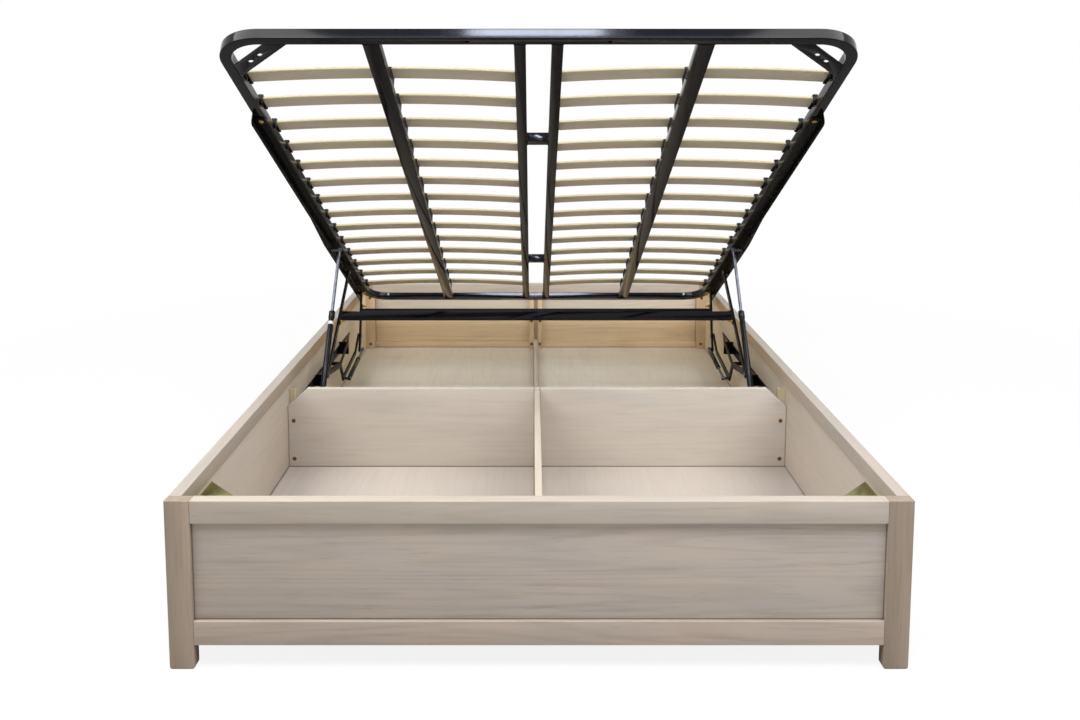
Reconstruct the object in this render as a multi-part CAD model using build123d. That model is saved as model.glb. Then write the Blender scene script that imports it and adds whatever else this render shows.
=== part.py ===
from build123d import *

import math
import os

# Ottoman storage bed, standing open: a pine box with a slatted steel platform that lifts
# on a pair of side linkages. Millimetres. The origin is on the floor under the centre of
# the box, +X to the bed's right as seen from the foot, +Y towards the head, +Z up.

# Box: overall sizes
bed_length = 2100.0
bed_width = 1495.0
bed_height = 354.0
board = 26.0
post_width = 51.0
top_rail_height = 47.5
bottom_rail_height = 51.0
floor_gap = 51.0
edge_round = 1.5
foot_round = 6.0

# Box: framed end panels
panel_thickness = 12.0
panel_recess = 9.0
panel_tongue = 8.0
groove_slack = 0.3

# Box: sides
side_board_thickness = 24.0
side_cap_thickness = 27.0
side_cap_height = 36.5

# Box: floor and dividers
floor_thickness = 10.0
cleat_height = 17.0
cleat_width = 20.0
floor_slack = 1.5
divider_from_head = 1280.0
divider_thickness = 18.0
divider_height = 311.0
divider_cut_width = 58.0
divider_cut_drop = 53.0
centre_board = 16.0
front_divider_height = 305.0
rear_beam_height = 115.0

# Box: battens and screws
divider_batten_width = 21.0
divider_batten_top = 304.0
head_batten_width = 38.0
corner_batten_depth = 20.0
centre_batten_width = 20.0
centre_batten_depth = 18.0
batten_top_drop = 36.5
screw_head_radius = 6.0
screw_head_height = 2.0
divider_screw_low = 24.0
divider_screw_high = 138.0
divider_screw_inset = 17.0
batten_screw_end = 20.0

# Zinc corner brackets at the foot end
bracket_leg = 176.0
bracket_plate = 2.5
bracket_flange = 34.0
bracket_hole_radius = 4.0
bracket_gap = 8.5

# Platform: steel frame, and the room round it when it is closed
platform_side_gap = 55.0
closed_head_gap = 57.0
closed_foot_gap = 58.0
tube = 25.0
tube_wall = 1.5
tube_bend_radius = 102.0
tube_round = 2.0
drain_radius = 4.0
drain_from_centre = 150.0
beam_spacing = 80.0
middle_bar_width = 36.0
middle_bar_height = 20.0
tie_from_end = 502.0
gusset_plate = 3.0
gusset_near = 85.0
gusset_far = 135.0
gusset_slot_length = 15.0
gusset_slot_width = 9.0
gusset_hole_radius = 2.5
gusset_slot_offset = 19.0

# Platform: slats and their plastic fittings
slat_count = 14
slat_width = 45.0
slat_thickness = 8.0
slat_crown = 11.0
slat_head_gap = 135.0
slat_foot_gap = 212.0
slat_bearing = 17.0
holder_base = 2.0
holder_wall = 2.5
holder_length = 12.0
holder_overhang = 3.5
holder_slack = 0.3
hook_drop = 9.0
hook_width = 12.0
saddle_wall = 2.5
saddle_lip = 5.0

# Platform pose: where the head-end lower edge of the frame lies, open and closed
open_tilt = 28.7
open_head_gap = 185.0
open_head_height = 320.9
closed_head_height = 314.5

# Lift linkage: pivots on the platform, measured from its head end, and link lengths
pivot_drop = 25.0
front_pivot = 451.0
rear_pivot = 187.4
strut_pivot = 703.0
front_link_length = 450.0
rear_link_length = 165.0
link_inset = 12.5
link_thickness = 6.0
link_width = 22.0
lever_length = 50.0
lever_angle = 115.0
pin_radius = 5.0
pin_head_radius = 8.0
pin_head_height = 2.0
running_gap = 0.3
pin_fit = 0.05

# Mounting rails and pivot plates under the platform, measured from its head end
rail_plate = 3.0
rail_flange = 23.0
rail_start = 100.0
rail_foot_gap = 345.0
rail_deep = 40.0
rail_shallow = 24.0
rail_deep_until = 800.0
rail_shallow_from = 1000.0
rail_bolt_radius = 4.0
rail_bolt_head = 7.0
rail_bolt_head_height = 4.0
rail_bolt_inset = 26.0

# Crossbars
crossbar_depth = 30.0
crossbar_thickness = 15.0
crossbar_place_share = 0.55
crossbar_flange = 3.0
crossbar_flange_length = 62.0
crossbar_bolt_offset = 24.0
crossbar_bolt_radius = 3.0
crossbar_nut_radius = 5.0
crossbar_nut_height = 5.0
crossbar_bolt_stickout = 16.0

# Base brackets on the box sides
base_plate = 3.0
base_rail_inset = 4.5
base_rail_plate = 4.0
base_rail_width = 20.0
strut_foot_from_head = 1134.0
strut_foot_height = 189.0
base_elbow_from_head = 685.0
base_elbow_height = 152.0
base_neck_from_head = 460.0
base_neck_height = 180.0
base_knee_from_head = 730.0
base_knee_height = 215.0
brace_end_from_head = 590.0
brace_end_height = 258.5
brace_width = 15.0
wall_plate_top = 243.0
wall_plate_bottom = 213.0
wall_plate_front = 1158.0
wall_plate_back = 395.0
wall_plate_taper = 30.0
base_bolt_from_end = 50.0
base_bolt_middle = 810.0
base_bolt_radius = 6.5
base_bolt_height = 4.0

# Gas struts
strut_inset = 28.5
strut_cylinder_radius = 9.0
strut_collar_radius = 10.0
strut_collar_length = 24.0
strut_rod_radius = 5.0
strut_body_length = 330.0
strut_rod_length = 243.0
strut_bore_length = 210.0
strut_eye_radius = 8.0
strut_eye_width = 11.5
strut_end_gap = 14.0

# Dampers on the rear link levers
damper_inset = 25.5
damper_cylinder_radius = 8.0
damper_collar_radius = 8.5
damper_collar_length = 9.0
damper_rod_radius = 4.0
damper_body_length = 175.0
damper_rod_length = 136.0
damper_bore_length = 140.0
damper_eye_radius = 7.0
damper_eye_width = 9.0
damper_end_gap = 12.0

# Places that follow from the sizes above
foot_face = -bed_length / 2
head_face = bed_length / 2
half_width = bed_width / 2
foot_inside = foot_face + board
head_inside = head_face - board
side_inside = half_width - side_board_thickness
cap_inside = half_width - side_cap_thickness
floor_bottom = floor_gap + cleat_height
floor_top = floor_bottom + floor_thickness
divider_front = head_face - divider_from_head
divider_back = divider_front + divider_thickness
batten_top = bed_height - batten_top_drop
platform_width = bed_width - 2 * platform_side_gap
platform_length = bed_length - closed_head_gap - closed_foot_gap
rail_face = platform_width / 2
rail_end = platform_length - rail_foot_gap
link_plane = rail_face - link_inset
strut_plane = rail_face - strut_inset
damper_plane = rail_face - damper_inset
base_rail_plane = rail_face - base_rail_inset


def block(x0, x1, y0, y1, z0, z1):
    """Rectangular solid between two corners."""
    centre = Pos((x0 + x1) / 2, (y0 + y1) / 2, (z0 + z1) / 2)
    return centre * Box(x1 - x0, y1 - y0, z1 - z0)


def side_plate(points, x0, thickness):
    """Flat plate parallel to the bed's side: a (y, z) outline made thick along +X."""
    outline = make_face(Polyline(*points, close=True))
    return extrude(Plane.YZ.offset(x0) * outline, thickness)


def cross_pin(y, z, x0, x1, radius):
    """Round bar along X between x0 and x1."""
    return Pos((x0 + x1) / 2, y, z) * Rot(0, 90, 0) * Cylinder(radius, x1 - x0)


def along(y0, z0, y1, z1, x, radius, start, end):
    """Round bar in a side plane, from start to end along the line between two points."""
    length = math.hypot(y1 - y0, z1 - z0)
    dy, dz = (y1 - y0) / length, (z1 - z0) / length
    middle = (start + end) / 2
    turn = math.degrees(math.atan2(-dy, dz))
    place = Pos(x, y0 + dy * middle, z0 + dz * middle) * Rot(turn, 0, 0)
    return place * Cylinder(radius, end - start)


def both_sides(shape):
    """The shape and its mirror image, as (left, right)."""
    return mirror(shape, Plane.YZ), shape


def write(name, *solids):
    """One STEP file for a node, holding one solid or a group of separate solids."""
    shape = solids[0] if len(solids) == 1 else Compound(children=list(solids))
    export_step(shape, os.path.join("parts", name + ".step"))


os.makedirs("parts", exist_ok=True)


# Framed ends: two posts, two rails and a panel held in grooves, the same at foot and head
def end_post(y0, y1, side):
    """Upright post that runs down into the foot, with its lower corners rounded."""
    inner = half_width - post_width
    post = block(inner, half_width, y0, y1, 0, bed_height)
    panel_y0, panel_y1 = panel_span(y0)
    groove = block(
        inner,
        inner + panel_tongue + groove_slack,
        panel_y0 - groove_slack,
        panel_y1 + groove_slack,
        floor_gap + bottom_rail_height - panel_tongue - groove_slack,
        bed_height - top_rail_height + panel_tongue + groove_slack,
    )
    post -= groove
    post = fillet(post.edges().filter_by(Axis.Y).group_by(Axis.Z)[0], foot_round)
    return post if side > 0 else mirror(post, Plane.YZ)


def panel_span(y0):
    """Where the thin panel lies in the thickness of an end frame that starts at y0."""
    if y0 < 0:
        return y0 + panel_recess, y0 + panel_recess + panel_thickness
    return y0 + board - panel_recess - panel_thickness, y0 + board - panel_recess


def end_rails(y0, y1):
    """Top and bottom rails of an end frame, each grooved for the panel."""
    reach = half_width - post_width
    top = block(-reach, reach, y0, y1, bed_height - top_rail_height, bed_height)
    bottom = block(-reach, reach, y0, y1, floor_gap, floor_gap + bottom_rail_height)
    panel_y0, panel_y1 = panel_span(y0)
    groove = block(
        -reach,
        reach,
        panel_y0 - groove_slack,
        panel_y1 + groove_slack,
        floor_gap + bottom_rail_height - panel_tongue - groove_slack,
        bed_height - top_rail_height + panel_tongue + groove_slack,
    )
    return top - groove, bottom - groove


def end_panel(y0):
    panel_y0, panel_y1 = panel_span(y0)
    reach = half_width - post_width + panel_tongue
    return block(
        -reach,
        reach,
        panel_y0,
        panel_y1,
        floor_gap + bottom_rail_height - panel_tongue,
        bed_height - top_rail_height + panel_tongue,
    )


for end, start in (("foot", foot_face), ("head", head_inside)):
    top_rail, bottom_rail = end_rails(start, start + board)
    write(end + "_post_left", end_post(start, start + board, -1))
    write(end + "_post_right", end_post(start, start + board, 1))
    write(end + "_top_rail", top_rail)
    write(end + "_bottom_rail", bottom_rail)
    write(end + "_panel", end_panel(start))

# Sides: a deep board under a thicker cap, which leaves a small step on the inside
cap_bottom = bed_height - side_cap_height
side_board = block(side_inside, half_width, foot_inside, head_inside, floor_gap, cap_bottom)
side_cap = block(cap_inside, half_width, foot_inside, head_inside, cap_bottom, bed_height)
cap_corners = side_cap.edges().filter_by(Axis.Y).group_by(Axis.Z)[-1]
side_cap = fillet(cap_corners, edge_round)
for name, solid in (("side_board", side_board), ("side_cap", side_cap)):
    left, right = both_sides(solid)
    write(name + "_left", left)
    write(name + "_right", right)

# Cleats under the floor: along the sides, the ends, the divider and the centre boards
half_centre = centre_board / 2


def cleat(x0, x1, y0, y1):
    return block(x0, x1, y0, y1, floor_gap, floor_bottom)


def bay_cleats(y0, y1):
    """Four cleats that carry one bay's floor panel on the right half of the box."""
    inner = half_centre + cleat_width
    outer = side_inside - cleat_width
    return [
        cleat(outer, side_inside, y0, y1),
        cleat(half_centre, inner, y0, y1),
        cleat(inner, outer, y0, y0 + cleat_width),
        cleat(inner, outer, y1 - cleat_width, y1),
    ]


right_cleats = bay_cleats(foot_inside, divider_front) + bay_cleats(divider_back, head_inside)
left_cleats = [mirror(piece, Plane.YZ) for piece in right_cleats]
write("floor_cleats", *right_cleats, *left_cleats)


# Floor panels: one in each of the four bays
def floor_panel(y0, y1):
    return block(
        half_centre + floor_slack,
        side_inside - floor_slack,
        y0 + floor_slack,
        y1 - floor_slack,
        floor_bottom,
        floor_top,
    )


write("front_floor_panels", *both_sides(floor_panel(foot_inside, divider_front)))
write("rear_floor_panels", *both_sides(floor_panel(divider_back, head_inside)))

# Cross divider, with its upper corners cut away under the platform's side rails
divider_cut_end = side_inside - divider_cut_width
divider_outline = Polyline(
    (-side_inside, floor_gap),
    (side_inside, floor_gap),
    (side_inside, divider_height - divider_cut_drop),
    (divider_cut_end, divider_height),
    (-divider_cut_end, divider_height),
    (-side_inside, divider_height - divider_cut_drop),
    close=True,
)
divider_face = Plane.XZ.offset(-divider_back) * make_face(divider_outline)
write("cross_divider", extrude(divider_face, divider_thickness))

# Centre boards: a full divider in the front bay, a low floor beam in the rear bay
write(
    "front_divider",
    block(
        -half_centre, half_centre, foot_inside, divider_front, floor_gap, front_divider_height
    ),
)
write(
    "rear_floor_beam",
    block(-half_centre, half_centre, divider_back, head_inside, floor_gap, rear_beam_height),
)

# Upright battens: behind the divider's ends, in the head corners, and either side of the centre
divider_batten = block(
    side_inside - divider_batten_width,
    side_inside,
    divider_back,
    divider_back + corner_batten_depth,
    floor_top,
    divider_batten_top,
)
write("divider_battens", *both_sides(divider_batten))
head_corner_batten = block(
    side_inside - head_batten_width,
    side_inside,
    head_inside - corner_batten_depth,
    head_inside,
    floor_top,
    batten_top,
)
head_centre_batten = block(
    half_centre,
    half_centre + centre_batten_width,
    head_inside - centre_batten_depth,
    head_inside,
    floor_top,
    batten_top,
)
write("head_battens", *both_sides(head_corner_batten), *both_sides(head_centre_batten))


# Wood screws: shallow domed heads on the divider's front and on the battens
def screw_head(x, y, z):
    """Domed screw head seated on a face that looks towards the foot end."""
    head = Pos(x, y - screw_head_height / 2, z) * Rot(90, 0, 0) * Cylinder(
        screw_head_radius, screw_head_height
    )
    rim = head.edges().group_by(Axis.Y)[0]
    return fillet(rim, screw_head_height / 2)


screws = []
for z in (floor_top + divider_screw_low, floor_top + divider_screw_high):
    screws.append(screw_head(side_inside - divider_screw_inset, divider_front, z))
batten_span = batten_top - floor_top
for z in (floor_top + batten_screw_end, batten_top - batten_screw_end):
    x = side_inside - head_batten_width / 2
    screws.append(screw_head(x, head_inside - corner_batten_depth, z))
for z in (
    floor_top + batten_screw_end,
    floor_top + batten_span / 2,
    batten_top - batten_screw_end,
):
    x = half_centre + centre_batten_width / 2
    screws.append(screw_head(x, head_inside - centre_batten_depth, z))
write("wood_screws", *screws, *[mirror(screw, Plane.YZ) for screw in screws])

# Corner brackets at the foot: a triangular plate with a flange down each board, on which
# the closed platform rests
bracket_top = closed_head_height - bracket_gap
bracket_corner = Polyline(
    (side_inside, foot_inside),
    (side_inside, foot_inside + bracket_leg),
    (side_inside - bracket_leg, foot_inside),
    close=True,
)
bracket_face = Plane.XY.offset(bracket_top - bracket_plate) * make_face(bracket_corner)
bracket = extrude(bracket_face, bracket_plate)
bracket += block(
    side_inside - bracket_plate,
    side_inside,
    foot_inside,
    foot_inside + bracket_leg - bracket_flange,
    bracket_top - bracket_flange,
    bracket_top - bracket_plate,
)
bracket += block(
    side_inside - bracket_leg + bracket_flange,
    side_inside,
    foot_inside,
    foot_inside + bracket_plate,
    bracket_top - bracket_flange,
    bracket_top - bracket_plate,
)
bracket -= Pos(
    side_inside - bracket_leg / 3, foot_inside + bracket_leg / 3, bracket_top - bracket_plate / 2
) * Cylinder(bracket_hole_radius, bracket_plate * 2)
for name, solid in zip(("corner_bracket_left", "corner_bracket_right"), both_sides(bracket)):
    write(name, solid)


# Platform: every piece is drawn lying closed, then carried to the open place
closed_head_y = head_face - closed_head_gap
open_head_y = head_face - open_head_gap
tilt = math.radians(open_tilt)
lift = (
    Pos(0, open_head_y, open_head_height)
    * Rot(-open_tilt, 0, 0)
    * Pos(0, -closed_head_y, -closed_head_height)
)


def lifted(*shapes):
    return [lift * shape for shape in shapes]


def open_point(from_head, below):
    """(y, z) in the open bed of a point given from the platform's head-end lower edge."""
    y = open_head_y - from_head * math.cos(tilt) - below * math.sin(tilt)
    z = open_head_height + from_head * math.sin(tilt) - below * math.cos(tilt)
    return y, z


def closed_point(from_head, below):
    return closed_head_y - from_head, closed_head_height - below


# Perimeter tube: a hollow square section bent round four corners, with drain holes below
platform_foot_y = closed_head_y - platform_length
frame_centre = Pos(0, (closed_head_y + platform_foot_y) / 2, closed_head_height + tube / 2)


def ring(inset, height):
    """Closed loop of tube material, inset from both faces of the square section."""
    outer = RectangleRounded(
        platform_width - 2 * inset,
        platform_length - 2 * inset,
        tube_bend_radius - inset,
    )
    inner = RectangleRounded(
        platform_width - 2 * (tube - inset),
        platform_length - 2 * (tube - inset),
        tube_bend_radius - tube + inset,
    )
    return extrude(Pos(0, 0, -height / 2) * (outer - inner), height)


frame_outside = ring(0, tube)
rim_edges = frame_outside.edges().group_by(Axis.Z)
frame_outside = fillet(rim_edges[0] + rim_edges[-1], tube_round)
frame = frame_outside - ring(tube_wall, tube - 2 * tube_wall)
for end in (-1, 1):
    for side in (-1, 1):
        hole_y = end * (platform_length - tube) / 2
        drain = Pos(side * drain_from_centre, hole_y, -tube / 2) * Cylinder(drain_radius, tube)
        frame -= drain
write("platform_frame", *lifted(frame_centre * frame))

# Centre beams and middle bars: rectangular tubes between the foot and head tubes
inner_foot = platform_foot_y + tube
inner_head = closed_head_y - tube
frame_inside = platform_width / 2 - tube
middle_bar_place = (frame_inside + beam_spacing / 2) / 2


def long_tube(x, width, height):
    """Hollow tube running the length of the platform, open at the tubes it butts on."""
    z0 = closed_head_height
    outside = block(x - width / 2, x + width / 2, inner_foot, inner_head, z0, z0 + height)
    inside = block(
        x - width / 2 + tube_wall,
        x + width / 2 - tube_wall,
        inner_foot,
        inner_head,
        z0 + tube_wall,
        z0 + height - tube_wall,
    )
    return outside - inside


centre_beam = long_tube(beam_spacing / 2, tube, tube)
middle_bar = long_tube(middle_bar_place, middle_bar_width, middle_bar_height)
write("centre_beams", *lifted(*both_sides(centre_beam)))
write("middle_bars", *lifted(*both_sides(middle_bar)))


# Short ties between the two centre beams
def tie(from_head):
    half_gap = beam_spacing / 2 - tube / 2
    middle = closed_head_y - from_head
    z0 = closed_head_height
    return block(-half_gap, half_gap, middle - tube / 2, middle + tube / 2, z0, z0 + tube)


write("cross_ties", *lifted(tie(tie_from_end), tie(platform_length - tie_from_end)))

# Gusset plates across the two foot corners, each with two slots and a small hole
gusset_corner_x = frame_inside
gusset_corner_y = inner_foot
gusset_outline = Polyline(
    (gusset_corner_x - gusset_near, gusset_corner_y),
    (gusset_corner_x, gusset_corner_y + gusset_near),
    (gusset_corner_x, gusset_corner_y + gusset_far),
    (gusset_corner_x - gusset_far, gusset_corner_y),
    close=True,
)
gusset = extrude(
    Plane.XY.offset(closed_head_height) * make_face(gusset_outline), gusset_plate
)
gusset_mid = (gusset_near + gusset_far) / 4
gusset_centre = Pos(
    gusset_corner_x - gusset_mid, gusset_corner_y + gusset_mid, closed_head_height
)
gusset -= gusset_centre * Cylinder(gusset_hole_radius, 3 * gusset_plate)
for side in (-1, 1):
    slot = SlotOverall(gusset_slot_length, gusset_slot_width)
    step = side * gusset_slot_offset
    cutter = gusset_centre * Rot(0, 0, 45) * Pos(step, 0, -gusset_plate) * slot
    gusset -= extrude(cutter, 3 * gusset_plate)
write("corner_gussets", *lifted(*both_sides(gusset)))

# Slats: sprung strips, bowed upwards, each from a centre beam to a side tube
slat_base = closed_head_height + tube + holder_base
slat_inner = beam_spacing / 2 + tube / 2 - slat_bearing
slat_outer = frame_inside + slat_bearing
slat_span = slat_outer - slat_inner
slat_pitch = (platform_length - slat_head_gap - slat_foot_gap) / (slat_count - 1)
slat_places = [
    closed_head_y - slat_head_gap - slat_pitch * index for index in range(slat_count)
]


def slat(y):
    """One bowed strip: two arcs with square ends, made as wide as the slat along Y."""
    middle_x = (slat_inner + slat_outer) / 2
    low = [
        (slat_inner, slat_base),
        (middle_x, slat_base + slat_crown),
        (slat_outer, slat_base),
    ]
    high = [(x, z + slat_thickness) for x, z in low]
    outline = (
        ThreePointArc(*low)
        + Line(low[2], high[2])
        + ThreePointArc(high[2], high[1], high[0])
        + Line(high[0], low[0])
    )
    face = Plane.XZ.offset(-y - slat_width / 2) * make_face(outline)
    return extrude(face, slat_width)


slats = [slat(y) for y in slat_places]
write("slats_right", *lifted(*slats))
write("slats_left", *lifted(*[mirror(piece, Plane.YZ) for piece in slats]))


# Slat holders: plastic sleeves round the slat ends, hooked over the edge of the side tubes
def holder(y, end_x, inward, front, hooked):
    """Sleeve round a slat near its end, open at both ends. inward is the direction along X
    to the slat's middle, and front is how far from the slat's end the sleeve reaches."""
    slack = holder_slack
    half = slat_width / 2 + slack + holder_wall
    x0, x1 = sorted((end_x + inward * (front - holder_length), end_x + inward * front))
    bottom = closed_head_height + tube
    top = slat_base + slat_thickness + slat_crown / 4 + holder_wall
    sleeve = block(x0, x1, y - half, y + half, bottom, top)
    sleeve -= block(
        x0,
        x1,
        y - slat_width / 2 - slack,
        y + slat_width / 2 + slack,
        slat_base - slack,
        top - holder_wall,
    )
    if hooked:
        face = end_x + inward * slat_bearing
        hook0, hook1 = sorted((face + inward * slack, end_x + inward * front))
        hook_y = y - half
        sleeve += block(hook0, hook1, hook_y, hook_y + hook_width, bottom - hook_drop, bottom)
    return sleeve


side_reach = slat_bearing + holder_overhang
side_holders = [holder(y, slat_outer, -1, side_reach, True) for y in slat_places]
beam_holders = [holder(y, slat_inner, 1, slat_bearing, False) for y in slat_places]
mirrored_side = [mirror(piece, Plane.YZ) for piece in side_holders]
mirrored_beam = [mirror(piece, Plane.YZ) for piece in beam_holders]
write("slat_end_holders", *lifted(*side_holders, *mirrored_side))
write("slat_centre_holders", *lifted(*beam_holders, *mirrored_beam))


# Saddles: clips that stand on a middle bar and hold each slat at the top of its bow
def saddle(y):
    """Block under the slat's crown with two lips up the slat's edges."""
    bar_top = closed_head_height + middle_bar_height
    bar_half = middle_bar_width / 2
    x0, x1 = middle_bar_place - bar_half, middle_bar_place + bar_half
    middle_x = (slat_inner + slat_outer) / 2
    rise = (slat_span / 2) ** 2 / (2 * slat_crown)
    away = abs(middle_bar_place - middle_x) + bar_half
    seat = slat_base + slat_crown - away**2 / (2 * rise) - holder_slack
    half = slat_width / 2 + holder_slack + saddle_wall
    body = block(x0, x1, y - half, y + half, bar_top, seat)
    for side in (-1, 1):
        y0, y1 = sorted((y + side * half, y + side * (half - saddle_wall)))
        body += block(x0, x1, y0, y1, seat, seat + saddle_lip)
    return body


saddles = [saddle(y) for y in slat_places]
write("slat_saddles", *lifted(*saddles, *[mirror(piece, Plane.YZ) for piece in saddles]))

# Mounting rails: steel angles under the side tubes, with a plate welded on for the pivots
rail_underside = closed_head_height - rail_plate
rail_web_bottom = closed_head_height - rail_shallow
rail_web = block(
    rail_face,
    rail_face + rail_plate,
    closed_head_y - rail_end,
    closed_head_y - rail_start,
    rail_web_bottom,
    closed_head_height + tube,
)
web_corners = rail_web.edges().filter_by(Axis.X).group_by(Axis.Y)[0]
rail_web = fillet(web_corners.sort_by(Axis.Z)[:1], rail_shallow / 2)
pivot_plate = side_plate(
    [
        (closed_head_y - rail_start, rail_web_bottom),
        (closed_head_y - rail_start, closed_head_height - rail_deep),
        (closed_head_y - rail_deep_until, closed_head_height - rail_deep),
        (closed_head_y - rail_shallow_from, rail_web_bottom),
    ],
    rail_face,
    rail_plate,
)
plate_corners = pivot_plate.edges().filter_by(Axis.X).group_by(Axis.Y)[-1]
pivot_plate = fillet(plate_corners.sort_by(Axis.Z)[:1], rail_shallow / 2)
rail_shelf = block(
    rail_face - rail_flange,
    rail_face + rail_plate,
    closed_head_y - rail_end + rail_shallow / 2,
    closed_head_y - rail_start - rail_shallow / 2,
    rail_underside,
    closed_head_height,
)
mounting_rail = rail_web + rail_shelf
shelf_bolt_x = rail_face - tube / 2
shelf_bolt_places = (rail_start + rail_bolt_inset, rail_end - rail_bolt_inset)
left_rail, right_rail = lifted(*both_sides(mounting_rail))
left_plate, right_plate = lifted(*both_sides(pivot_plate))
write("mounting_rail_left", left_rail, left_plate)
write("mounting_rail_right", right_rail, right_plate)

# Brass-coloured bolts through the rail's shelf into the side tube
rail_bolts = []
for place in shelf_bolt_places:
    hexagon = Plane.XY.offset(rail_underside - rail_bolt_head_height) * RegularPolygon(
        rail_bolt_head, 6
    )
    head = extrude(hexagon, rail_bolt_head_height)
    rail_bolts.append(Pos(shelf_bolt_x, closed_head_y - place, 0) * head)
write("rail_bolts", *lifted(*rail_bolts, *[mirror(piece, Plane.YZ) for piece in rail_bolts]))


# Link geometry: each link's lower pivot is the point on the box that is one link length
# from the platform pivot both when the bed is open and when it is closed
def ground_pivot(from_head, length):
    open_y, open_z = open_point(from_head, pivot_drop)
    closed_y, closed_z = closed_point(from_head, pivot_drop)
    chord_y, chord_z = closed_y - open_y, closed_z - open_z
    chord = math.hypot(chord_y, chord_z)
    reach = math.sqrt(length**2 - (chord / 2) ** 2)
    y = (open_y + closed_y) / 2 + reach * chord_z / chord
    z = (open_z + closed_z) / 2 - reach * chord_y / chord
    return y, z


front_top = open_point(front_pivot, pivot_drop)
rear_top = open_point(rear_pivot, pivot_drop)
strut_top = open_point(strut_pivot, pivot_drop)
front_ground = ground_pivot(front_pivot, front_link_length)
rear_ground = ground_pivot(rear_pivot, rear_link_length)
strut_foot = (head_face - strut_foot_from_head, strut_foot_height)
damper_foot = (head_face - base_elbow_from_head, base_elbow_height)
lever_tip = (
    rear_ground[0] - lever_length * math.cos(math.radians(180 - lever_angle)),
    rear_ground[1] - lever_length * math.sin(math.radians(180 - lever_angle)),
)
link_inner = link_plane - link_thickness / 2
link_outer = link_plane + link_thickness / 2


def bar_outline(points, width):
    """Outline of a flat bar of one width along a path, with round ends and joints."""
    bar = None
    for (y0, z0), (y1, z1) in zip(points, points[1:]):
        length = math.hypot(y1 - y0, z1 - z0)
        turn = math.degrees(math.atan2(z1 - z0, y1 - y0))
        piece = Pos((y0 + y1) / 2, (z0 + z1) / 2) * Rot(0, 0, turn) * SlotCenterToCenter(
            length, width
        )
        bar = piece if bar is None else bar + piece
    return bar


def flat_bar(points, width, x0, thickness):
    return extrude(Plane.YZ.offset(x0) * bar_outline(points, width), thickness)


def bore(y, z, radius):
    """Cutter for a pivot hole through the link plane and the plates beside it."""
    return cross_pin(y, z, strut_plane, half_width, radius)


# Front links: plain flat bars from the base brackets to the mounting rails
front_link = flat_bar([front_ground, front_top], link_width, link_inner, link_thickness)
front_link -= bore(*front_ground, pin_radius + pin_fit)
front_link -= bore(*front_top, pin_radius + pin_fit)
for name, solid in zip(("front_link_left", "front_link_right"), both_sides(front_link)):
    write(name, solid)

# Rear links: cranked bars whose tails work the dampers, with the top stud riveted in
rear_link = flat_bar([lever_tip, rear_ground, rear_top], link_width, link_inner, link_thickness)
rear_link -= bore(*rear_ground, pin_radius + pin_fit)
rear_link += cross_pin(*rear_top, link_outer, rail_face - running_gap, pin_radius)
for name, solid in zip(("rear_link_left", "rear_link_right"), both_sides(rear_link)):
    write(name, solid)


# Crossbars: rectangular tubes between a pair of links, welded to bolted end plates
def crossbar(ground, top):
    """Tube across the bed at a share of the link's length, square to the link."""
    length = math.hypot(top[0] - ground[0], top[1] - ground[1])
    dy, dz = (top[0] - ground[0]) / length, (top[1] - ground[1]) / length
    place = crossbar_place_share * length
    turn = math.degrees(math.atan2(dz, dy))
    centre = Pos(0, ground[0] + dy * place, ground[1] + dz * place) * Rot(turn, 0, 0)
    reach = link_inner - crossbar_flange
    outside = Box(2 * reach, crossbar_depth, crossbar_thickness)
    inside = Box(
        2 * reach, crossbar_depth - 2 * tube_wall, crossbar_thickness - 2 * tube_wall
    )
    bar = outside - inside
    for side in (-1, 1):
        flange_x = side * (reach + crossbar_flange / 2)
        bar += Pos(flange_x, 0, 0) * Box(crossbar_flange, crossbar_flange_length, link_width)
    bolts = []
    for side in (-1, 1):
        for offset in (-crossbar_bolt_offset, crossbar_bolt_offset):
            bolts.append(centre * crossbar_bolt(side, offset))
    return centre * bar, bolts


def crossbar_bolt(side, offset):
    """Bolt through link and end plate: head outside, nut and a stub of thread inside."""
    nut_x = reach_in = link_inner - crossbar_flange
    stub = cross_pin(
        offset, 0, reach_in - crossbar_bolt_stickout, reach_in, crossbar_bolt_radius
    )
    nut = Pos(nut_x - crossbar_nut_height, offset, 0) * extrude(
        Plane.YZ * RegularPolygon(crossbar_nut_radius, 6), crossbar_nut_height
    )
    head = cross_pin(
        offset, 0, link_outer, link_outer + pin_head_height / 2, crossbar_nut_radius
    )
    bolt = [stub + nut, head]
    return Compound(children=[mirror(piece, Plane.YZ) for piece in bolt] if side < 0 else bolt)


for name, ground, top in (
    ("front_crossbar", front_ground, front_top),
    ("rear_crossbar", rear_ground, rear_top),
):
    bar, bolts = crossbar(ground, top)
    write(name, bar)
    write(name + "_bolts", *[solid for bolt in bolts for solid in bolt.solids()])

# Base brackets: a strip on the box side and a cranked inner rail that carries the pivots,
# with a brace up from its knee, joined to the strip by spacer plates
rail_x0 = base_rail_plane - base_rail_plate / 2
rail_x1 = base_rail_plane + base_rail_plate / 2
base_knee = (head_face - base_knee_from_head, base_knee_height)
brace_end = (head_face - brace_end_from_head, brace_end_height)
base_path = [
    strut_foot,
    front_ground,
    base_knee,
    damper_foot,
    (head_face - base_neck_from_head, base_neck_height),
    rear_ground,
]
base_bracket = flat_bar(base_path, base_rail_width, rail_x0, base_rail_plate)
base_bracket += flat_bar([base_knee, brace_end], brace_width, rail_x0, base_rail_plate)
wall_x0 = side_inside - base_plate
front_y = head_face - wall_plate_front
back_y = head_face - wall_plate_back
base_bracket += side_plate(
    [
        (front_y, wall_plate_bottom),
        (back_y - wall_plate_taper, wall_plate_bottom),
        (back_y, wall_plate_top),
        (front_y, wall_plate_top),
    ],
    wall_x0,
    base_plate,
)
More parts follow.
